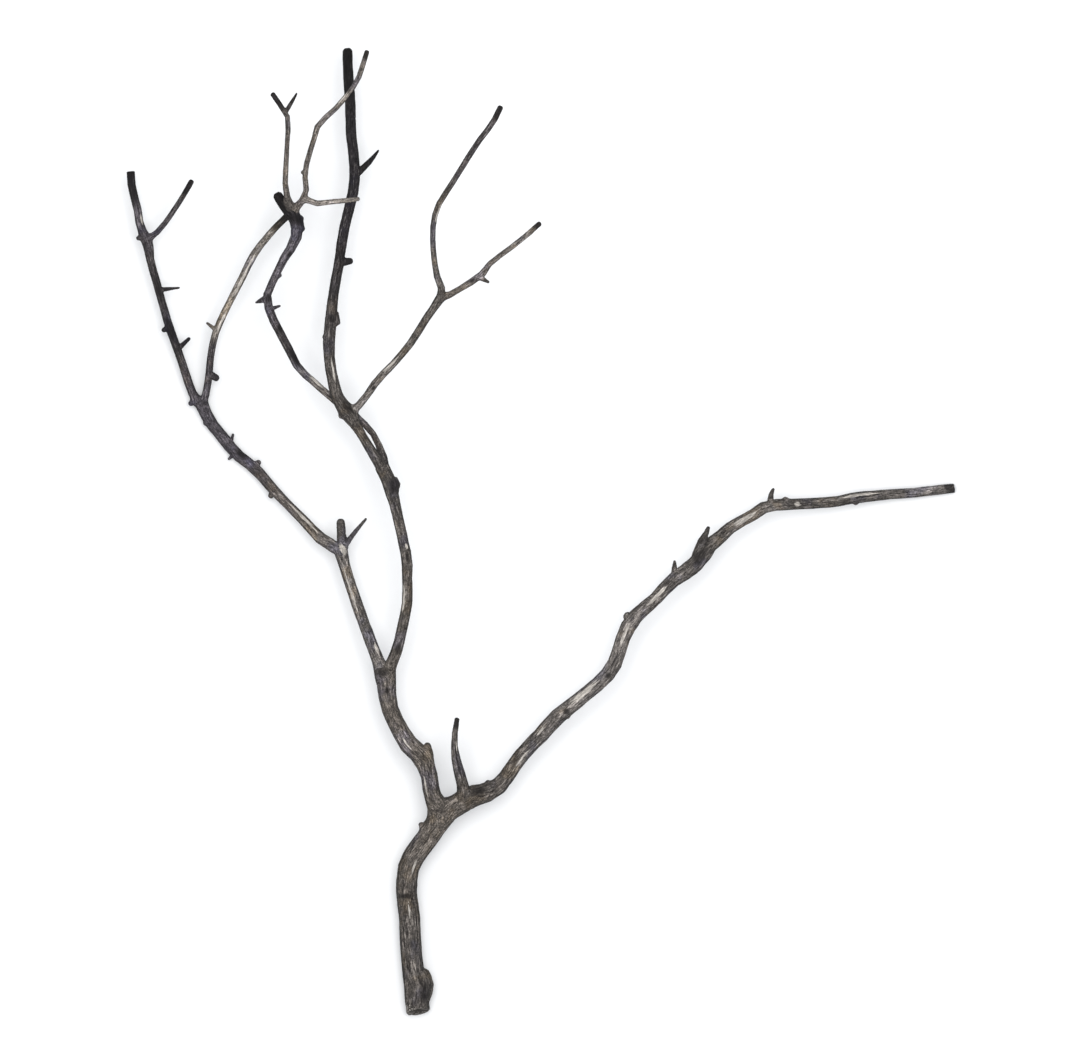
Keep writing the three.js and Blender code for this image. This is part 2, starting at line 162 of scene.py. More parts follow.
class WoodSizes(bpy.types.PropertyGroup):
    """Sizes of the wood's surface."""

    voxel: length_setting("Facet", "Size of the skin's facets", 0.00068)
    swell: length_setting("Swell", "How far each limb swells to close the forks' gaps", 0.0003)
    rounding: bpy.props.IntProperty(
        name="Rounding", description="Smoothing passes that round the limbs", default=10)
    fillet: bpy.props.IntProperty(
        name="Fork fillet", description="Passes that fill the crotch of each fork", default=300)
    fluting: bpy.props.FloatProperty(
        name="Fluting", description="Depth of the long flutes, as a share of a limb's radius",
        default=0.09)
    furrow_depth: length_setting("Furrow depth", "Depth of the furrows along the grain", 0.0003)
    furrow_width: length_setting("Furrow spacing", "Distance between furrows round a limb", 0.0026)
    crack_depth: length_setting("Crack depth", "Depth of the drying cracks in the thick limbs", 0.0009)


class WoodColours(bpy.types.PropertyGroup):
    """Tones of the weathered wood, as linear colours."""

    silver: colour_setting("Silver grey", "Weathered wood in the open", (0.182, 0.163, 0.150))
    grey: colour_setting("Grey", "Darker weathered bark", (0.102, 0.090, 0.081))
    brown: colour_setting("Brown grey", "Wood that keeps some brown", (0.146, 0.126, 0.109))
    tan: colour_setting("Tan", "Dry bare twig wood", (0.235, 0.208, 0.182))
    cool: colour_setting("Cool grey", "Thin bark with a bluish cast", (0.092, 0.082, 0.092))
    dusky: colour_setting("Dusky", "Dark thin bark", (0.050, 0.044, 0.045))
    black: colour_setting("Black", "Blackened bark", (0.024, 0.021, 0.023))
    bare: colour_setting("Bare", "Pale wood where the bark is gone", (0.45, 0.415, 0.375))
    soot: colour_setting("Soot", "Knots, worn tips and cracks", (0.010, 0.008, 0.008))
    # The cut colour is old wood darkened further by painted shade, for a sawn face that turns away from
    # the light
    cut: colour_setting("Cut wood", "The sawn face's old wood", (0.034, 0.028, 0.024))


class StageSettings(bpy.types.PropertyGroup):
    """The floor and the camera."""

    floor_size: length_setting("Floor", "Side of the floor", 14.0)
    floor_colour: colour_setting("Floor colour", "Plain pale floor", (0.9, 0.9, 0.9))
    lens: bpy.props.FloatProperty(
        name="Lens", description="Focal length in mm", default=400.0)
    view_width: length_setting("View width", "Width of the view at the branch's middle", 1.08)
    view_height: length_setting("Middle height", "Height of the plane that fills the view's width", 0.04)
    view_shift: bpy.props.FloatVectorProperty(
        name="View shift", description="Where the view's middle is from the branch's, along X and Y",
        size=2, default=(-0.0012, 0.0066), unit="LENGTH")


# ---- the middle line of a limb ----

SAME_CORNER = 2e-6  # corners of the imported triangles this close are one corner
WALK_STEP = 0.003  # distance between two stations on a limb's middle line
WALK_RAYS = 16
MOST_STATIONS = 400
LEAST_MOVE = 1e-5  # a walk that moves less than this doesn't turn
KEEP_HEADING = 0.4  # share of the old direction that a walk keeps at each station
SPUR_RATIO = 1.3  # a ray this much longer than the radius runs up a spur
FORK_CONTACT = 0.0006  # two limbs' solids meet where they are this close
BUTT_SLICE = 0.008  # length of the trunk's end whose middle is the butt's
END_INSET = 0.002  # how far inside a limb's end a walk starts
LOOK_AHEAD = (0.008, 0.014, 0.022)
EVENING_PASSES = 3  # smoothing passes along a middle line
BLOCK = 20000  # points that are straightened at a time, to save memory


class Solid:
    """A packed limb's solid, with its loose triangles merged."""

    def __init__(self, limb):
        self.bm = bmesh.new()
        self.bm.from_mesh(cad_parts[limb].data)
        bmesh.ops.remove_doubles(self.bm, verts=self.bm.verts, dist=SAME_CORNER)
        self.bm.normal_update()
        self.tree = BVHTree.FromBMesh(self.bm)
        self.points = [vert.co.copy() for vert in self.bm.verts]


def middle_here(tree, point, direction):
    """The middle and radius of the wood round a point, from pairs of rays square to the grain."""
    side = direction.orthogonal().normalized()
    pairs = []
    for turn in range(WALK_RAYS // 2):
        ray = Quaternion(direction, 2 * math.pi * turn / WALK_RAYS) @ side
        one, other = tree.ray_cast(point, ray)[0], tree.ray_cast(point, -ray)[0]
        if one and other:
            pairs.append(((one - other).length / 2, (one + other) / 2))
    if not pairs:
        return None, None
    radius = sorted(half for half, _ in pairs)[len(pairs) // 2]
    # A ray that runs up a spur is left out
    middles = [middle for half, middle in pairs if half <= SPUR_RATIO * radius]
    return sum(middles, Vector()) / len(middles), radius


def walk(tree, start, direction):
    """Stations (middle, radius) from start until the wood ends ahead."""
    stations = []
    point = start
    for _ in range(MOST_STATIONS):
        for _ in range(2):
            middle, radius = middle_here(tree, point, direction)
            if middle is None:
                return stations
            point = middle
        if stations and (point - stations[-1][0]).length > LEAST_MOVE:
            onward = (point - stations[-1][0]).normalized()
            direction = (KEEP_HEADING * direction + (1 - KEEP_HEADING) * onward).normalized()
        stations.append((point.copy(), radius))
        ahead = tree.ray_cast(point, direction)[3]
        if ahead is None or ahead < WALK_STEP:
            break
        point = point + WALK_STEP * direction
    return stations


def walk_from(solid, end):
    """The longest walk from one end of a limb, over a few ways to look ahead."""
    best = []
    for reach in LOOK_AHEAD:
        near = [point for point in solid.points if (point - end).length < reach]
        heart = sum(near, Vector()) / max(1, len(near))
        direction = (heart - end).normalized()
        for start in (end + END_INSET * direction, heart):
            stations = walk(solid.tree, start, direction)
            if len(stations) > len(best):
                best = stations
    return best


def root_of(solid, older_solid):
    """The middle of where a limb meets the older one, or of the trunk's butt."""
    if older_solid:
        meeting = [point for point in solid.points
                   if (older_solid.tree.find_nearest(point)[3] or 1) < FORK_CONTACT]
    else:
        lowest = min(point.y for point in solid.points)
        meeting = [point for point in solid.points if point.y < lowest + BUTT_SLICE]
    return sum(meeting, Vector()) / len(meeting)


def carried_normals(tangents, normal):
    """A normal for each tangent, turned along with them and not twisted."""
    normals = np.empty_like(tangents)
    tangent = Vector(tangents[0])
    for i, turned in enumerate(tangents):
        turned = Vector(turned)
        normal = tangent.rotation_difference(turned) @ normal
        normal = (normal - normal.dot(turned) * turned).normalized()
        normals[i] = normal
        tangent = turned
    return normals


class Axis:
    """A limb's middle line with a frame carried along it, which goes on from the older limb's."""

    def __init__(self, solid, older_solid, older_axis):
        fork = root_of(solid, older_solid)
        tip = max(solid.points, key=lambda point: (point - fork).length)
        outward = walk_from(solid, fork)
        inward = walk_from(solid, tip)[::-1]
        stations = max(outward, inward, key=len)
        middles = np.array([middle for middle, _ in stations])
        radii = np.array([radius for _, radius in stations])
        for _ in range(EVENING_PASSES):
            middles[1:-1] = (middles[:-2] + 2 * middles[1:-1] + middles[2:]) / 4
            radii[1:-1] = (radii[:-2] + 2 * radii[1:-1] + radii[2:]) / 4
        self.middles, self.radii = middles, radii
        steps = np.linalg.norm(np.diff(middles, axis=0), axis=1)
        self.along = np.concatenate([[0], np.cumsum(steps)])
        self.length = self.along[-1]
        tangents = np.gradient(middles, axis=0)
        self.tangents = tangents / np.linalg.norm(tangents, axis=1)[:, None]
        self.offset, normal = 0.0, Vector((0, 0, 1))
        if older_axis:
            nearest = np.argmin(np.linalg.norm(older_axis.middles - middles[0], axis=1))
            self.offset = older_axis.offset + older_axis.along[nearest]
            normal = Vector(older_axis.normals[nearest])
        self.normals = carried_normals(self.tangents, normal)

    def straighten(self, points):
        """Where points are on the straightened limb: a dictionary of arrays."""
        starts, ends = self.middles[:-1], self.middles[1:]
        spans = ends - starts
        squares = (spans ** 2).sum(1)
        station = np.empty(len(points), int)
        share = np.empty(len(points))
        for low in range(0, len(points), BLOCK):
            block = points[low:low + BLOCK, None, :] - starts[None]
            part = np.clip((block * spans).sum(2) / squares, 0, 1)
            gap = ((block - part[:, :, None] * spans) ** 2).sum(2)
            best = gap.argmin(1)
            station[low:low + BLOCK] = best
            share[low:low + BLOCK] = part[np.arange(len(best)), best]

        def between(values):
            weight = share[:, None] if values.ndim > 1 else share
            return values[station] * (1 - weight) + values[station + 1] * weight

        out = points - between(self.middles)
        normal = between(self.normals)
        tangent = between(self.tangents)
        across = np.cross(tangent, normal)
        plan = np.cross(tangent, [0, 0, 1.0])
        plan /= np.linalg.norm(plan, axis=1)[:, None] + 1e-9
        radius = between(self.radii)
        return {
            "u": (out * normal).sum(1),
            "v": (out * across).sum(1),
            "along": between(self.along),
            "past": ((points - self.middles[-1]) * self.tangents[-1]).sum(1),
            "before": ((self.middles[0] - points) * self.tangents[0]).sum(1),
            "radius": radius,
            "side": (out * plan).sum(1) / radius,
            "tangent": tangent,
        }


# ---- the wood's skin ----

ROUND_IN, ROUND_OUT = 0.5, 0.48  # how far a rounding pass goes in, and then out again
LAST_ROUNDING = 3  # rounding passes after the crotches are filled
FORK_REACH = 2.5  # how far from a fork its fillet may reach, in sums of the two radii
CROTCH_ROUNDNESS = 0.6  # the crotch's roundness, as a share of the older limb's own
CORE_SIZE = 0.85  # a fork core's radius, as a share of the limb's
UNFILLED = ("leader", "rear_limb")  # forks left as they are, so that the split limb stays open
HOLE_DEPTH = 0.0022  # depth of the dent at a mark of the hole kind
SAW_SLANT = 0.0036  # how far the butt's top edge goes in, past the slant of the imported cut
SAW_REACH = 0.02  # how far along the trunk the slant is felt
SEAM_PASSES = 12  # how far a seam's evening reaches, in facets
FLOOR_GAP = 0.00005  # the lowest that the wood may be above the floor

# Lengths along the grain of the relief's parts
FLUTE_LENGTH = 0.05
LUMP_LENGTH = 0.018
FURROW_LENGTH = 0.026
FINE_LENGTH = 0.011
CRACK_LENGTH = 0.11
CRACKED_STRETCH = 0.045


def noise_at(*coordinates):
    """Blender's noise at each place, from an array for each coordinate."""
    return np.array([noise.noise(Vector(place)) for place in zip(*coordinates)])


def smoothstep(low, high, values):
    """0 up to low, 1 from high on, and a smooth rise between."""
    share = np.clip((values - low) / (high - low), 0, 1)
    return share * share * (3 - 2 * share)


def mean_of_neighbours(values, edges, degree):
    """The mean of each point's values over the points that an edge joins it to."""
    one, other = edges.T
    columns = values.reshape(len(values), -1).T
    sums = [np.bincount(one, column[other], len(column)) + np.bincount(other, column[one], len(column))
            for column in columns]
    return (np.array(sums) / degree).T.reshape(values.shape)


class Skin:
    """The whole wood's surface as arrays over one mesh."""

    def __init__(self, mesh):
        self.mesh = mesh
        count = len(mesh.vertices)
        self.points = np.empty(count * 3)
        mesh.vertices.foreach_get("co", self.points)
        self.points = self.points.reshape(-1, 3)
        self.edges = np.empty(len(mesh.edges) * 2, int)
        mesh.edges.foreach_get("vertices", self.edges)
        self.edges = self.edges.reshape(-1, 2)
        self.degree = np.bincount(self.edges.ravel(), minlength=count)

    def neighbour_mean(self, values):
        return mean_of_neighbours(values, self.edges, self.degree)

    def normals(self):
        self.mesh.vertices.foreach_set("co", self.points.ravel())
        self.mesh.update()
        normals = np.empty(len(self.points) * 3)
        self.mesh.vertex_normals.foreach_get("vector", normals)
        return normals.reshape(-1, 3)

    def round_off(self, passes):
        """Smooths with little shrinking: each pass in is followed by a slightly smaller one out."""
        for _ in range(passes):
            self.points += ROUND_IN * (self.neighbour_mean(self.points) - self.points)
            self.points -= ROUND_OUT * (self.neighbour_mean(self.points) - self.points)

    def fill_crotches(self, passes, forks, facet):
        """Fills concave places near the forks, so that limb flows into limb.

        A fork is its point and the two limbs' radii, the younger's first. A crotch fills while it
        turns in more sharply than the wood's own roundness allows.
        """
        gaps = np.array([np.linalg.norm(self.points - fork, axis=1) / (FORK_REACH * (young + old))
                         for fork, young, old in forks])
        fork_radius = np.array([old for _, _, old in forks])[gaps.argmin(axis=0)]
        near = gaps.min(axis=0) < 1
        chosen = np.flatnonzero(near)
        order = np.zeros(len(near), int)
        order[chosen] = np.arange(len(chosen))
        edges = order[self.edges[near[self.edges].all(axis=1)]]
        degree = np.bincount(edges.ravel(), minlength=len(chosen))
        freedom = smoothstep(1, 0.6, gaps.min(axis=0)[chosen]) * (degree == self.degree[chosen])
        leeway = 0.25 * facet ** 2 * CROTCH_ROUNDNESS / fork_radius[chosen]
        for step in range(passes):
            if step % 10 == 0:
                normals = self.normals()[chosen]
            points = self.points[chosen]
            pull = mean_of_neighbours(points, edges, np.maximum(degree, 1)) - points
            outward = np.clip((pull * normals).sum(1) + leeway, 0, None) * freedom
            self.points[chosen] = points + outward[:, None] * normals


def joined_skin(solids, axes, sizes):
    """One closed mesh round all the limbs, remeshed and rounded."""
    whole = bmesh.new()
    forks = []
    for limb, older in GROWS_FROM.items():
        if older:
            bridge_fork(whole, axes[limb], axes[older])
        if older and limb not in UNFILLED:
            forks.append(fork_between(axes[limb], axes[older]))
    swollen = bpy.data.meshes.new("swollen_limb")
    for solid in solids.values():
        limb = solid.bm.copy()
        for vert in limb.verts:
            vert.co += sizes.swell * vert.normal
        limb.to_mesh(swollen)
        whole.from_mesh(swollen)
        limb.free()
    rough = bpy.data.meshes.new("wood_skin")
    whole.to_mesh(rough)
    whole.free()
    carrier = bpy.data.objects.new("wood_skin", rough)
    bpy.context.scene.collection.objects.link(carrier)
    remesh = carrier.modifiers.new("Even facets", "REMESH")
    remesh.mode = "VOXEL"
    remesh.voxel_size = sizes.voxel
    evaluated = carrier.evaluated_get(bpy.context.evaluated_depsgraph_get())
    mesh = bpy.data.meshes.new_from_object(evaluated)
    bpy.data.objects.remove(carrier)
    bpy.data.meshes.remove(rough)
    bpy.data.meshes.remove(swollen)
    skin = Skin(mesh)
    skin.round_off(sizes.rounding)
    skin.fill_crotches(sizes.fillet, forks, sizes.voxel)
    skin.round_off(LAST_ROUNDING)
    return skin


def station_at_fork(young, old):
    """The older limb's station that is nearest to the younger limb's start."""
    return np.argmin(np.linalg.norm(old.middles - young.middles[0], axis=1))


def fork_between(young, old):
    """A fork's point, the younger limb's radius and the older limb's."""
    root = station_at_fork(young, old)
    return young.middles[0], np.median(young.radii[1:6]), old.radii[root]


def bridge_fork(whole, young, old):
    """Adds a rounded core that runs from inside the older limb into the younger one."""
    root = station_at_fork(young, old)
    onward = min(3, len(young.middles) - 1)
    core = bmesh.new()
    for middle, radius in ((old.middles[root], min(young.radii[onward], old.radii[root])),
                           (young.middles[onward], young.radii[onward])):
        ball = bmesh.ops.create_icosphere(core, subdivisions=2, radius=CORE_SIZE * radius)
        bmesh.ops.translate(core, verts=ball["verts"], vec=Vector(middle))
    shell = bmesh.ops.convex_hull(core, input=core.verts)
    spare = [item for item in shell["geom_interior"] if isinstance(item, bmesh.types.BMVert)]
    bmesh.ops.delete(core, geom=spare, context="VERTS")
    bmesh.ops.recalc_face_normals(core, faces=core.faces)
    mesh = bpy.data.meshes.new("fork_core")
    core.to_mesh(mesh)
    core.free()
    whole.from_mesh(mesh)
    bpy.data.meshes.remove(mesh)


def nearest_limbs(points, solids):
    """The index of the limb whose solid is nearest to each point."""
    corners, faces, owner = [], [], []
    for index, solid in enumerate(solids.values()):
        base = len(corners)
        corners.extend(solid.points)
        for face in solid.bm.faces:
            faces.append([base + vert.index for vert in face.verts])
            owner.append(index)
    tree = BVHTree.FromPolygons(corners, faces)
    return np.array([owner[tree.find_nearest(point)[2]] for point in points])


def relief(place, sizes):
    """Depth of the wood's own relief (negative inwards) and how deep in a crack each point is.

    The whole numbers that are added to a noise's place keep its pattern apart from the others.
    """
    radius = place["radius"]
    angle = np.arctan2(place["v"], place["u"])
    round_x, round_y = np.cos(angle), np.sin(angle)
    along = place["along"] + place["offset"]
    size = np.clip(radius / 0.006, 0.35, 1.3)
    flutes = noise_at(1.25 * round_x, 1.25 * round_y, along / FLUTE_LENGTH)
    lumps = noise_at(0.8 * round_x + 7, 0.8 * round_y, along / LUMP_LENGTH)
    spacing = sizes.furrow_width
    ridges = noise_at(round_x * radius / spacing, round_y * radius / spacing, along / FURROW_LENGTH)
    furrow = 1 - np.clip(np.abs(ridges) / 0.09, 0, 1)
    narrow, wide = 0.45 * spacing, 2.6 * spacing
    fine = noise_at(round_x * radius / narrow + 3, round_y * radius / narrow, along / FINE_LENGTH)
    split = np.abs(noise_at(round_x * radius / wide + 31, round_y * radius / wide, along / CRACK_LENGTH))
    where = smoothstep(0.12, 0.3, noise_at(along / CRACKED_STRETCH, round_x * 0.6, round_y * 0.6 + 11))
    crack = (1 - np.clip(split / 0.05, 0, 1)) * where * smoothstep(0.0038, 0.006, radius)
    depth = sizes.fluting * radius * (0.75 * flutes + 0.5 * lumps)
    depth += size * sizes.furrow_depth * (0.9 * fine - furrow)
    depth -= size * sizes.crack_depth * crack
    return depth, crack


def saw_slant(place):
    """How far the saw's slant moves each of the trunk's points along the grain."""
    height = 0.5 + 0.5 * np.clip(place["u"] / place["radius"], -1, 1)
    near_cut = smoothstep(SAW_REACH, 0.0, place["along"])
    return (SAW_SLANT * height * near_cut)[:, None] * place["tangent"]


def evened_at_seams(skin, owner, depth):
    """The relief's depth, faded to its average where one limb's relief meets another's."""
    seam = np.zeros(len(owner))
    one, other = skin.edges.T
    seam[skin.edges[owner[one] != owner[other]].ravel()] = 1
    even = depth.copy()
    for _ in range(SEAM_PASSES):
        seam = np.maximum(seam, skin.neighbour_mean(seam))
        even = skin.neighbour_mean(even)
    return depth + np.clip(seam, 0, 1) * (even - depth)


class Wood:
    """What the operators share: the solids, the axes and the skin cut into pieces."""

    solids, axes, parts = {}, {}, {}

    @classmethod
    def grow(cls, sizes):
        cls.solids = {limb: Solid(limb) for limb in LIMBS}
        for limb, older in GROWS_FROM.items():
            cls.axes[limb] = Axis(cls.solids[limb], cls.solids.get(older), cls.axes.get(older))
        skin = joined_skin(cls.solids, cls.axes, sizes)
        owner = nearest_limbs(skin.points, cls.solids)
        depth, crack, slant = cls.relief_and_cut(skin, owner, sizes)
        depth = evened_at_seams(skin, owner, depth)
        skin.points += depth[:, None] * skin.normals()
        skin.points += slant
        skin.points[:, 2] = np.maximum(skin.points[:, 2], FLOOR_GAP)
        normals = skin.normals()
        pull = ((skin.neighbour_mean(skin.points) - skin.points) * normals).sum(1)
        hollow = skin.neighbour_mean(skin.neighbour_mean(pull))
        cls.cut_up(skin, owner, normals, crack, hollow)

    @classmethod
    def relief_and_cut(cls, skin, owner, sizes):
        """Each point's relief, how deep in a crack it is, and how the saw's slant moves it."""
        depth, crack = np.zeros(len(owner)), np.zeros(len(owner))
        slant = np.zeros((len(owner), 3))
        up = skin.normals()[:, 2]
        for index, limb in enumerate(LIMBS):
            mine = owner == index
            axis = cls.axes[limb]
            place = axis.straighten(skin.points[mine])
            place["offset"], place["up"] = axis.offset, up[mine]
            depth[mine], crack[mine] = relief(place, sizes)
            depth[mine] -= HOLE_DEPTH * mark_weight(limb, "hole", place)
            if limb == "trunk":
                slant[mine] = saw_slant(place)
        return depth, crack, slant

    @classmethod
    def cut_up(cls, skin, owner, normals, crack, hollow):
        """Separates the skin into one mesh for each limb, keeping the whole skin's shading; the cuts stay
        open until close_ends.
        """
        mesh = skin.mesh
        write_attribute(mesh, "shading", "FLOAT_VECTOR", normals)
        write_attribute(mesh, "crack", "FLOAT", crack)
        write_attribute(mesh, "hollow", "FLOAT", hollow)
        corners = np.empty(len(mesh.loops), int)
        mesh.loops.foreach_get("vertex_index", corners)
        first = np.empty(len(mesh.polygons), int)
        mesh.polygons.foreach_get("loop_start", first)
        mesh.materials.clear()
        for limb in LIMBS:
            mesh.materials.append(bpy.data.materials.new(limb))
        mesh.polygons.foreach_set("material_index", owner[corners[first]].astype(np.int32))
        whole = bpy.data.objects.new("wood_skin", mesh)
        bpy.context.scene.collection.objects.link(whole)
        bpy.ops.object.select_all(action="DESELECT")
        bpy.context.view_layer.objects.active = whole
        whole.select_set(True)
        bpy.ops.object.mode_set(mode="EDIT")
        bpy.ops.mesh.select_all(action="SELECT")
        bpy.ops.mesh.separate(type="MATERIAL")
        bpy.ops.object.mode_set(mode="OBJECT")
        for part in list(bpy.context.selected_objects):
            label = part.data.materials[part.data.polygons[0].material_index]
            cls.parts[label.name.split(".")[0]] = part


def write_attribute(mesh, name, kind, values):
    """Stores a value for each vertex under a name that materials can read."""
    attribute = mesh.attributes.get(name) or mesh.attributes.new(name, kind, "POINT")
    field = {"FLOAT": "value", "FLOAT_VECTOR": "vector", "FLOAT_COLOR": "color"}[kind]
    attribute.data.foreach_set(field, np.asarray(values, np.float32).ravel())


def read_attribute(mesh, name, field, width):
    """An attribute's values as an array, with a row for each vertex."""
    values = np.empty(len(mesh.vertices) * width, np.float32)
    mesh.attributes[name].data.foreach_get(field, values)
    return values.reshape(-1, width) if width > 1 else values


def close_ends(mesh):
    """Closes the cuts between neighbouring pieces, which lie inside the wood, with a fan over each."""
    bm = bmesh.new()
    bm.from_mesh(mesh)
    open_edges = [edge for edge in bm.edges if edge.is_boundary]
    waiting = set(open_edges)
    for first in open_edges:
        if first not in waiting:
            continue
        waiting.remove(first)
        rim, reached = [], [first]
        while reached:
            edge = reached.pop()
            rim.append(edge)
            onward = [link for vert in edge.verts for link in vert.link_edges if link in waiting]
            onward = list(dict.fromkeys(onward))
            waiting.difference_update(onward)
            reached.extend(onward)
        places = [vert.co for edge in rim for vert in edge.verts]
        middle = bm.verts.new(sum(places, Vector()) / len(places))
        for edge in rim:
            corner = edge.link_loops[0]
            bm.faces.new((corner.link_loop_next.vert, corner.vert, middle))
    left_open = sum(edge.is_boundary for edge in bm.edges)
    bm.to_mesh(mesh)
    bm.free()
    if left_open:
        raise RuntimeError(f"{mesh.name}: {left_open} edges stay open")


# ---- marks and tones ----

MARK_FALLOFF = 1.4  # how sharply a mark fades past its edge
MARK_SIDES = (-0.3, 0.1)  # upward slopes over which marks fade out on a limb's sides
KNOT_DARKNESS = 0.6  # how black a knot or a stub is beside a worn end
KNOT_RISE = (1.25, 1.7)  # distances from the middle line, in radii, where wood becomes a knot
END_FADE = (1.6, 0.6)  # shares of a black end's length over which the wood blackens
TONE_CELL = 0.012  # size of the waves in the edge between two tones
TONE_WOBBLE = 0.06  # how far those waves go, as a share of the limb
SAWN_STRETCH = (-0.016, -0.01)  # distances before the trunk's first station, minus past it
FACE_SLOPE = (0.4, 0.6)  # how far a surface faces along the grain where it is sawn
RIM_SLOPE = (0.1, 0.25)  # the same for the worn rim round it
RIM_UPWARD = (0.05, 0.3)  # upward slopes over which the worn rim fades in
RIM_BARENESS = 1.2
FULL_HOLLOW_DARKENING = 0.00004  # hollowness at which a hollow is darkened fully


def mark_weight(limb, kind, place):
    """How strongly marks of one kind lie on each point of a limb, from 0 to 1."""
    weight = np.zeros(len(place["along"]))
    share = place["along"] / Wood.axes[limb].length
    for mark_kind, centre, side, length, width in MARKS.get(limb, []):
        if mark_kind == kind:
            along = (share - centre) * Wood.axes[limb].length / (length / 2)
            across = (place["side"] - side) / width
            weight = np.maximum(weight, np.exp(-MARK_FALLOFF * (along ** 2 + across ** 2)))
    return weight * smoothstep(*MARK_SIDES, place["up"])


def darkness(limb, place):
    """How black each point of a limb is: marks, knots that stand out from it, and its worn end."""
    away = np.hypot(place["u"], place["v"]) / place["radius"]
    knots = KNOT_DARKNESS * smoothstep(*KNOT_RISE, away)
    black_end = np.zeros(len(away))
    if limb in BLACK_ENDS:
        ahead = (Wood.axes[limb].length - place["along"]) / BLACK_ENDS[limb]
        black_end = smoothstep(*END_FADE, ahead)
    marks = [mark_weight(limb, kind, place) for kind in ("dark", "hole")]
    return np.max([knots, black_end, *marks], axis=0)


def limb_tones(limb, place, points, colours):
    """The wood's tone at each point, with an uneven edge between one tone and the next."""
    share = place["along"] / Wood.axes[limb].length
    wobble = noise_at(*(points / TONE_CELL).T) * TONE_WOBBLE
    share = np.clip(share + wobble, 0, 1)
    stops = TONES[limb]
    shares = [stop for stop, _ in stops]
    return np.stack([np.interp(share, shares, [getattr(colours, tone)[i] for _, tone in stops])
                     for i in range(3)] + [np.ones(len(share))], axis=1)


def sawn_end(place, shading):
    """How much each of the trunk's points is on the sawn face, and on the worn rim round it."""
    facing = np.abs((shading * place["tangent"]).sum(1)) * smoothstep(*SAWN_STRETCH, place["before"])
    face = smoothstep(*FACE_SLOPE, facing)
    rim = smoothstep(*RIM_SLOPE, facing) * (1 - face)
    return face, RIM_BARENESS * rim * smoothstep(*RIM_UPWARD, place["up"])


# ---- finished pieces ----

def finish_piece(limb):
    """Turns one cut part of the skin into its limb's finished piece."""
    colours = bpy.context.scene.branch_colours
    part = Wood.parts[limb]
    part.name = part.data.name = limb + "_wood"
    mesh = part.data
    close_ends(mesh)
    points = np.empty(len(mesh.vertices) * 3)
    mesh.vertices.foreach_get("co", points)
    points = points.reshape(-1, 3)
    shading = read_attribute(mesh, "shading", "vector", 3)
    hollow = read_attribute(mesh, "hollow", "value", 1)
    axis = Wood.axes[limb]
    place = axis.straighten(points)
    place["up"] = shading[:, 2]
    grain = np.stack([place["u"], place["v"], place["along"] + axis.offset], axis=1)
    write_attribute(mesh, "grain", "FLOAT_VECTOR", grain)
    write_attribute(mesh, "tone", "FLOAT_COLOR", limb_tones(limb, place, points, colours))
    write_attribute(mesh, "dark", "FLOAT", darkness(limb, place))
    # The upward slope, which the material reads to paint shade on the limbs' sides
    write_attribute(mesh, "upward", "FLOAT", place["up"])
    bare, cut_face = mark_weight(limb, "bare", place), np.zeros(len(points))
    if limb == "trunk":
        cut_face, rim = sawn_end(place, shading)
        bare = np.maximum(bare, rim)
    write_attribute(mesh, "bare", "FLOAT", bare)
    write_attribute(mesh, "cut_face", "FLOAT", cut_face)
    # The skin is darker in its hollows, more so the deeper the hollow
    write_attribute(mesh, "hollow_darkening", "FLOAT", smoothstep(0.0, FULL_HOLLOW_DARKENING, hollow))
    mesh.materials.clear()
    mesh.materials.append(wood_material(limb, colours))
    mesh.polygons.foreach_set("material_index", np.zeros(len(mesh.polygons), np.int32))
    mesh.polygons.foreach_set("use_smooth", np.ones(len(mesh.polygons), bool))
    mesh.normals_split_custom_set_from_vertices(shading.tolist())
    mesh.attributes.remove(mesh.attributes["shading"])
    mesh.attributes.remove(mesh.attributes["hollow"])
    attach(part, "root")
    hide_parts(limb)


# ---- materials ----

# Sizes of the noises' cells: across the grain twice and along it, or the same all ways
FIBRE_CELL = (0.0011, 0.0011, 0.009)
HAIR_CELL = (0.0006, 0.0006, 0.004)
STRAND_CELL = (0.003, 0.003, 0.045)
HAIRLINE_CELL = (0.0021, 0.0021, 0.026)
FLECK_CELL = (0.0016, 0.0016, 0.0016)
PATCH_CELL = (0.011, 0.011, 0.011)
CAST_CELL = (0.035, 0.035, 0.035)
RING_CELL = (0.0012, 0.0012, 1000.0)  # the sawn face's rings, which don't change along the grain

COOL_CAST = (0.9, 0.93, 1.13, 1.0)
WARM_CAST = (1.08, 1.0, 0.87, 1.0)
MIDDLE = 0.5  # a noise's middle value
TONE_OFFSET = 0.14  # darkens the tones, which the swing brightens
BUMP_HEIGHT = 0.0008
PAINTED_SHADE_SLOPES = (0.1, 1.0)  # upward slopes over which painted shade darkens a limb's sides and underside below its lit top
PAINTED_SIDE_SHADE = (0.25, 1.0)  # painted shade: how bright the shaded sides and the lit top are
SLIM_PAINTED_SIDE_SHADE = (0.15, 1.1)  # the same painted shade on a twig, with its top painted brighter than its tone


class Wire:
    """A node's output. Sums and products with it add Math nodes."""

    def __init__(self, shader, socket):
        self.shader, self.socket = shader, socket

    def maths(self, operation, *values):
        return self.shader.node("ShaderNodeMath", {"operation": operation}, dict(enumerate(values)))

    def __add__(self, other):
        return self.maths("ADD", self, other)

    def __sub__(self, other):
        return self.maths("SUBTRACT", self, other)

    def __rsub__(self, other):
        return self.maths("SUBTRACT", other, self)

    def __mul__(self, other):
        return self.maths("MULTIPLY", self, other)

    __radd__ = __add__
    __rmul__ = __mul__

    def most(self, other):
        return self.maths("MAXIMUM", self, other)

    def size(self):
        return self.maths("ABSOLUTE", self)

    def exponential(self):
        return self.maths("EXPONENT", self)

    def sine(self):
        return self.maths("SINE", self)


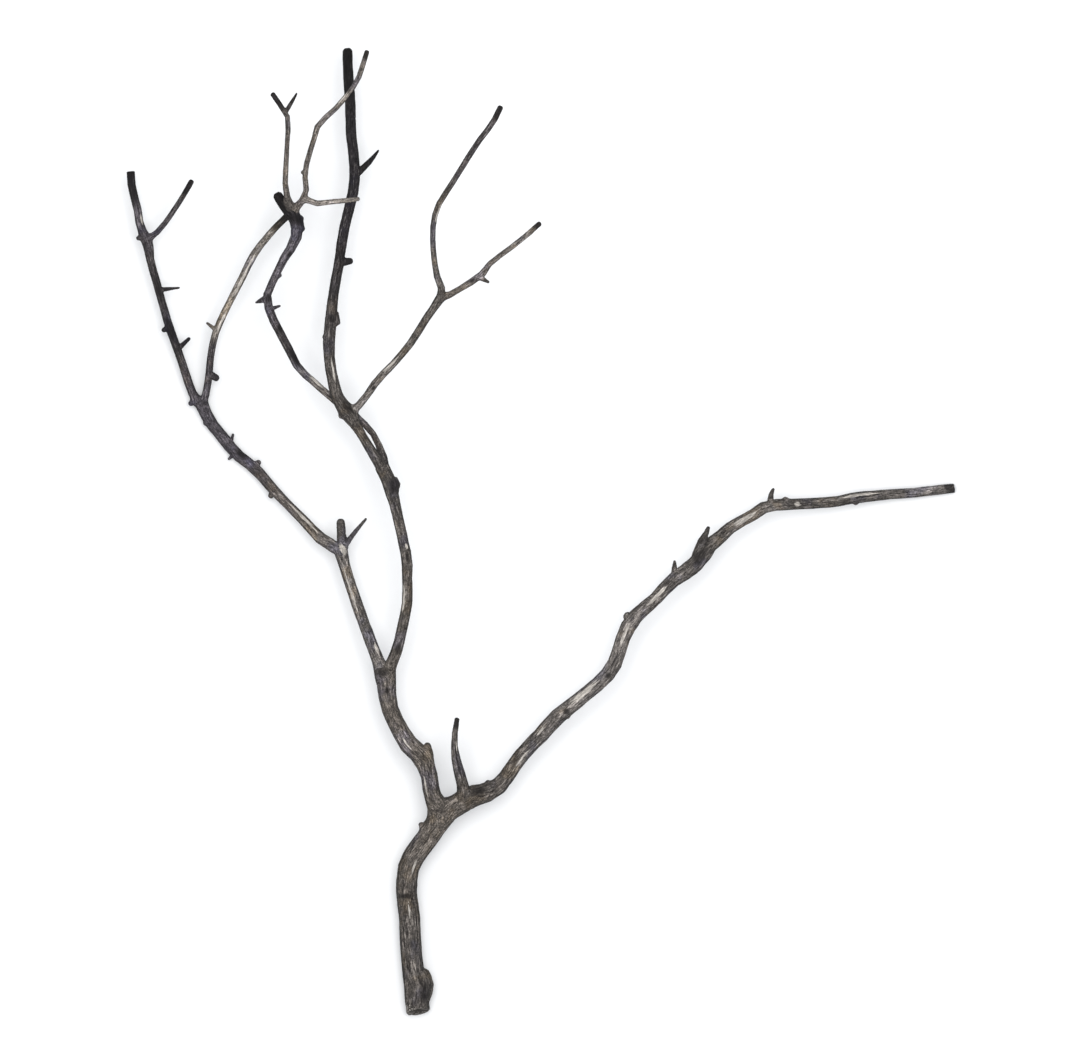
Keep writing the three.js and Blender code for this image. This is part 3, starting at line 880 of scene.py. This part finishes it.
class Shader:
    """A material's node tree."""

    def __init__(self, name):
        self.material = bpy.data.materials.new(name)
        self.material.use_nodes = True
        self.tree = self.material.node_tree
        self.tree.nodes.clear()

    def node(self, kind, settings=None, inputs=None, output=0):
        made = self.tree.nodes.new(kind)
        for name, setting in (settings or {}).items():
            setattr(made, name, setting)
        for name, value in (inputs or {}).items():
            socket = made.inputs[name]
            if isinstance(value, Wire):
                self.tree.links.new(value.socket, socket)
            else:
                socket.default_value = value
        return Wire(self, made.outputs[output]) if made.outputs else None

    def attribute(self, name, output="Fac"):
        return self.node("ShaderNodeAttribute", {"attribute_name": name}, output=output)

    def stretched(self, place, *sizes):
        """The place counted in cells of the given sizes, in metres."""
        return self.node("ShaderNodeVectorMath", {"operation": "MULTIPLY"},
                         {0: place, 1: tuple(1 / size for size in sizes)})

    def noise(self, place, detail=3.0, roughness=0.6, distortion=0.0):
        return self.node("ShaderNodeTexNoise", {}, {"Vector": place, "Scale": 1.0, "Detail": detail,
                         "Roughness": roughness, "Distortion": distortion})

    def ease(self, value, low, high, to_low=0.0, to_high=1.0):
        return self.node("ShaderNodeMapRange", {"interpolation_type": "SMOOTHSTEP"},
                         {"Value": value, "From Min": low, "From Max": high, "To Min": to_low,
                          "To Max": to_high})

    def mix(self, share, one, other, blend="MIX"):
        return self.node("ShaderNodeMix", {"data_type": "RGBA", "blend_type": blend},
                         {0: share, 6: one, 7: other}, output=2)

    def scaled(self, colour, factor):
        return self.node("ShaderNodeVectorMath", {"operation": "SCALE"}, {0: colour, "Scale": factor})


def opaque(colour):
    """A colour with full alpha."""
    return (*colour, 1.0)


def wood_noises(shader):
    """The noises that the wood's colour and its bumps share."""
    grain = shader.attribute("grain", "Vector")
    solid = shader.node("ShaderNodeTexCoord", output="Object")
    fibres = shader.noise(shader.stretched(grain, *FIBRE_CELL), 4.0, 0.65, 0.25)
    hairs = shader.noise(shader.stretched(grain, *HAIR_CELL), 2.0, 0.6)
    strands = shader.noise(shader.stretched(grain, *STRAND_CELL), 3.0, 0.55, 0.5)
    flecks = shader.noise(shader.stretched(solid, *FLECK_CELL), 2.0, 0.7)
    patches = shader.noise(shader.stretched(solid, *PATCH_CELL), 4.0, 0.6)
    casts = shader.noise(shader.stretched(solid, *CAST_CELL), 3.0, 0.6)
    lines = (shader.noise(shader.stretched(grain, *HAIRLINE_CELL), 2.0, 0.5, 0.6) - MIDDLE).size()
    hairline = shader.ease(lines, 0.028, 0.008) * shader.ease(patches, 0.4, 0.52)
    return SimpleNamespace(grain=grain, fibres=fibres, hairs=hairs, strands=strands, flecks=flecks,
                           patches=patches, casts=casts, hairline=hairline)


def fibrous(shader, noises, colours):
    """The limb's tone, with its fibres, its patches and its cool and warm casts."""
    swing = 4.2 * (noises.fibres - MIDDLE) + 2.8 * (noises.hairs - MIDDLE)
    swing = swing + 2.2 * (noises.strands - MIDDLE)
    swing = swing + 2.6 * (noises.flecks - MIDDLE) + 2.8 * (noises.patches - MIDDLE)
    colour = shader.scaled(shader.attribute("tone", "Color"), (swing - TONE_OFFSET).exponential())
    colour = shader.mix(shader.ease(noises.casts, 0.52, 0.66), colour,
                        shader.mix(1.0, colour, COOL_CAST, "MULTIPLY"))
    colour = shader.mix(shader.ease(noises.casts, 0.46, 0.34), colour,
                        shader.mix(1.0, colour, WARM_CAST, "MULTIPLY"))
    pale = shader.ease(noises.fibres, 0.54, 0.68) * shader.ease(noises.strands, 0.46, 0.6) * 0.35
    return shader.mix(pale, colour, opaque(colours.bare))


def worn(shader, noises, colours, colour):
    """A colour with bare patches on it, and over them knots, cracks, pits and darkening in the skin's
    hollows.
    """
    fibres = noises.fibres - MIDDLE
    strands = noises.strands - MIDDLE
    bare = shader.ease(shader.attribute("bare") + strands * 1.2 + fibres * 0.8, 0.36, 0.62)
    bare_swing = (2.6 * fibres + 2.2 * (noises.hairs - MIDDLE)).exponential()
    colour = shader.mix(bare, colour, shader.scaled(tuple(colours.bare), bare_swing))
    dark_edge = shader.attribute("dark") + (noises.flecks - MIDDLE) * 1.2 + strands * 1.4
    dark_edge = dark_edge + (noises.patches - MIDDLE) * 0.9 + fibres * 0.8
    dark = shader.ease(dark_edge, 0.35, 0.85) * 0.92
    crack = shader.ease(shader.attribute("crack"), 0.4, 0.85) * 0.9
    pits = shader.ease(noises.flecks, 0.42, 0.33) * 0.6
    grime = (noises.hairline * 0.8).most(pits) * (1.0 - 0.75 * bare)
    # The skin's hollows darken too, by up to 0.4 of the way to the soot colour
    soot = dark.most(crack).most(grime).most(shader.attribute("hollow_darkening") * 0.4)
    return shader.mix(soot, colour, shader.mix(0.5, shader.scaled(colour, 0.2), opaque(colours.soot)))


def sawn(shader, noises, colours, colour):
    """A colour with the sawn face's old wood and its rings on it; the cut colour holds painted shade as
    well as the old wood's darkness.
    """
    out = shader.node("ShaderNodeVectorMath", {"operation": "LENGTH"},
                      {0: shader.stretched(noises.grain, *RING_CELL)}, output=1)
    rings = (0.5 + noises.flecks) * (0.85 + 0.3 * (out * 6.28).sine())
    return shader.mix(shader.attribute("cut_face"), colour, shader.scaled(tuple(colours.cut), rings))


def wood_material(limb, colours):
    """Weathered wood: fibres and hairline cracks along the grain, bare and sooty patches, and painted
    shade on the limbs' sides.
    """
    shader = Shader(limb + "_wood")
    noises = wood_noises(shader)
    colour = worn(shader, noises, colours, fibrous(shader, noises, colours))
    # Painted shade: the colour darkens as the surface turns from facing up to the sides and underneath
    painted_side_shade = SLIM_PAINTED_SIDE_SHADE if limb in TWIG_PIECES else PAINTED_SIDE_SHADE
    colour = shader.scaled(colour, shader.ease(shader.attribute("upward"), *PAINTED_SHADE_SLOPES, *painted_side_shade))
    # The sawn face comes after the painted side shade and carries its own painted shade in the cut colour
    colour = sawn(shader, noises, colours, colour)
    height = 0.6 * noises.fibres + 0.35 * noises.hairs + 0.4 * noises.strands
    height = height + 0.3 * noises.flecks - 0.8 * noises.hairline
    bump = shader.node("ShaderNodeBump", {}, {"Strength": 0.9, "Distance": BUMP_HEIGHT, "Height": height})
    surface = shader.node("ShaderNodeBsdfPrincipled", {}, {
        "Base Color": colour, "Roughness": 1.0 - 0.35 * noises.fibres, "Normal": bump,
        "Specular IOR Level": 0.2})
    shader.node("ShaderNodeOutputMaterial", {}, {"Surface": surface})
    return shader.material


def floor_material(colour):
    shader = Shader("floor")
    surface = shader.node("ShaderNodeBsdfPrincipled", {}, {
        "Base Color": opaque(colour), "Roughness": 0.9, "Specular IOR Level": 0.1})
    shader.node("ShaderNodeOutputMaterial", {}, {"Surface": surface})
    return shader.material


# ---- operators ----

SENSOR_WIDTH = 36.0  # in the lens's own unit, the millimetre
VIEW_END = 100.0  # farthest distance that the camera sees
LIGHT_PLACE = (0.0, 0.2, 3.2)
LIGHT_WIDTH = 2.4
LIGHT_POWER = 69.0
SKY_COLOUR = (0.95, 0.97, 1.0)
SKY_STRENGTH = 0.78


class BRANCH_OT_skin(bpy.types.Operator):
    """Joins the limbs' solids into one furrowed skin and cuts it into a piece for each limb."""

    bl_idname = "branch.skin"
    bl_label = "Grow the wood's skin"

    def execute(self, context):
        Wood.grow(context.scene.branch_sizes)
        missing = [limb for limb in LIMBS if limb not in Wood.parts]
        if missing:
            raise RuntimeError(f"the skin has no part for {missing}")
        return {"FINISHED"}


class BRANCH_OT_trunk(bpy.types.Operator):
    """Finishes the sawn trunk."""

    bl_idname = "branch.trunk"
    bl_label = "Finish the trunk"

    def execute(self, context):
        for limb in STEM_PIECES:
            finish_piece(limb)
        return {"FINISHED"}


class BRANCH_OT_limbs(bpy.types.Operator):
    """Finishes the limbs, the bough and the leader."""

    bl_idname = "branch.limbs"
    bl_label = "Finish the limbs"

    def execute(self, context):
        for limb in LIMB_PIECES:
            finish_piece(limb)
        return {"FINISHED"}


class BRANCH_OT_twigs(bpy.types.Operator):
    """Finishes the twigs."""

    bl_idname = "branch.twigs"
    bl_label = "Finish the twigs"

    def execute(self, context):
        for limb in TWIG_PIECES:
            finish_piece(limb)
        return {"FINISHED"}


def add_light(name, place, size, power):
    """A soft round light that points at the branch."""
    data = bpy.data.lights.new(name, "AREA")
    data.shape = "DISK"
    data.size = size
    data.energy = power
    light = bpy.data.objects.new(name, data)
    light.location = place
    light.rotation_euler = (-Vector(place)).to_track_quat("-Z", "Y").to_euler()
    bpy.context.scene.collection.objects.link(light)


class BRANCH_OT_stage(bpy.types.Operator):
    """Sets the pale floor, the soft light and the camera that looks straight down."""

    bl_idname = "branch.stage"
    bl_label = "Set the stage"

    def execute(self, context):
        stage = context.scene.branch_stage
        bpy.ops.mesh.primitive_plane_add(size=stage.floor_size)
        floor = context.active_object
        floor.name = "floor"
        floor.data.materials.append(floor_material(stage.floor_colour))
        add_light("overhead", LIGHT_PLACE, LIGHT_WIDTH, LIGHT_POWER)
        world = bpy.data.worlds.new("studio")
        world.use_nodes = True
        sky = world.node_tree.nodes["Background"].inputs
        sky["Color"].default_value = opaque(SKY_COLOUR)
        sky["Strength"].default_value = SKY_STRENGTH
        context.scene.world = world
        optics = bpy.data.cameras.new("camera")
        optics.lens = stage.lens
        optics.sensor_width = SENSOR_WIDTH
        optics.clip_end = VIEW_END
        camera = bpy.data.objects.new("camera", optics)
        distance = stage.view_width * stage.lens / SENSOR_WIDTH
        camera.location = (*stage.view_shift, stage.view_height + distance)
        context.scene.collection.objects.link(camera)
        context.scene.camera = camera
        context.scene.view_settings.view_transform = "Standard"
        return {"FINISHED"}


class BRANCH_PT_panel(bpy.types.Panel):
    """The branch's sizes, colours and operators."""

    bl_label = "Fallen tree branch"
    bl_idname = "BRANCH_PT_panel"
    bl_space_type = "VIEW_3D"
    bl_region_type = "UI"
    bl_category = "Branch"

    def draw(self, context):
        scene = context.scene
        for group in (scene.branch_sizes, scene.branch_colours, scene.branch_stage):
            for name in group.__annotations__:
                self.layout.prop(group, name)
        for operator in OPERATORS:
            self.layout.operator(operator.bl_idname)


OPERATORS = (BRANCH_OT_skin, BRANCH_OT_trunk, BRANCH_OT_limbs, BRANCH_OT_twigs, BRANCH_OT_stage)
CLASSES = (WoodSizes, WoodColours, StageSettings, *OPERATORS, BRANCH_PT_panel)


def register():
    for cls in CLASSES:
        bpy.utils.register_class(cls)
    bpy.types.Scene.branch_sizes = bpy.props.PointerProperty(type=WoodSizes)
    bpy.types.Scene.branch_colours = bpy.props.PointerProperty(type=WoodColours)
    bpy.types.Scene.branch_stage = bpy.props.PointerProperty(type=StageSettings)


def unregister():
    del bpy.types.Scene.branch_sizes
    del bpy.types.Scene.branch_colours
    del bpy.types.Scene.branch_stage
    for cls in reversed(CLASSES):
        bpy.utils.unregister_class(cls)


def main():
    """Builds the branch and its stage."""
    register()
    bpy.ops.branch.skin()
    bpy.ops.branch.trunk()
    bpy.ops.branch.limbs()
    bpy.ops.branch.twigs()
    bpy.ops.branch.stage()


if __name__ == "__main__":
    main()
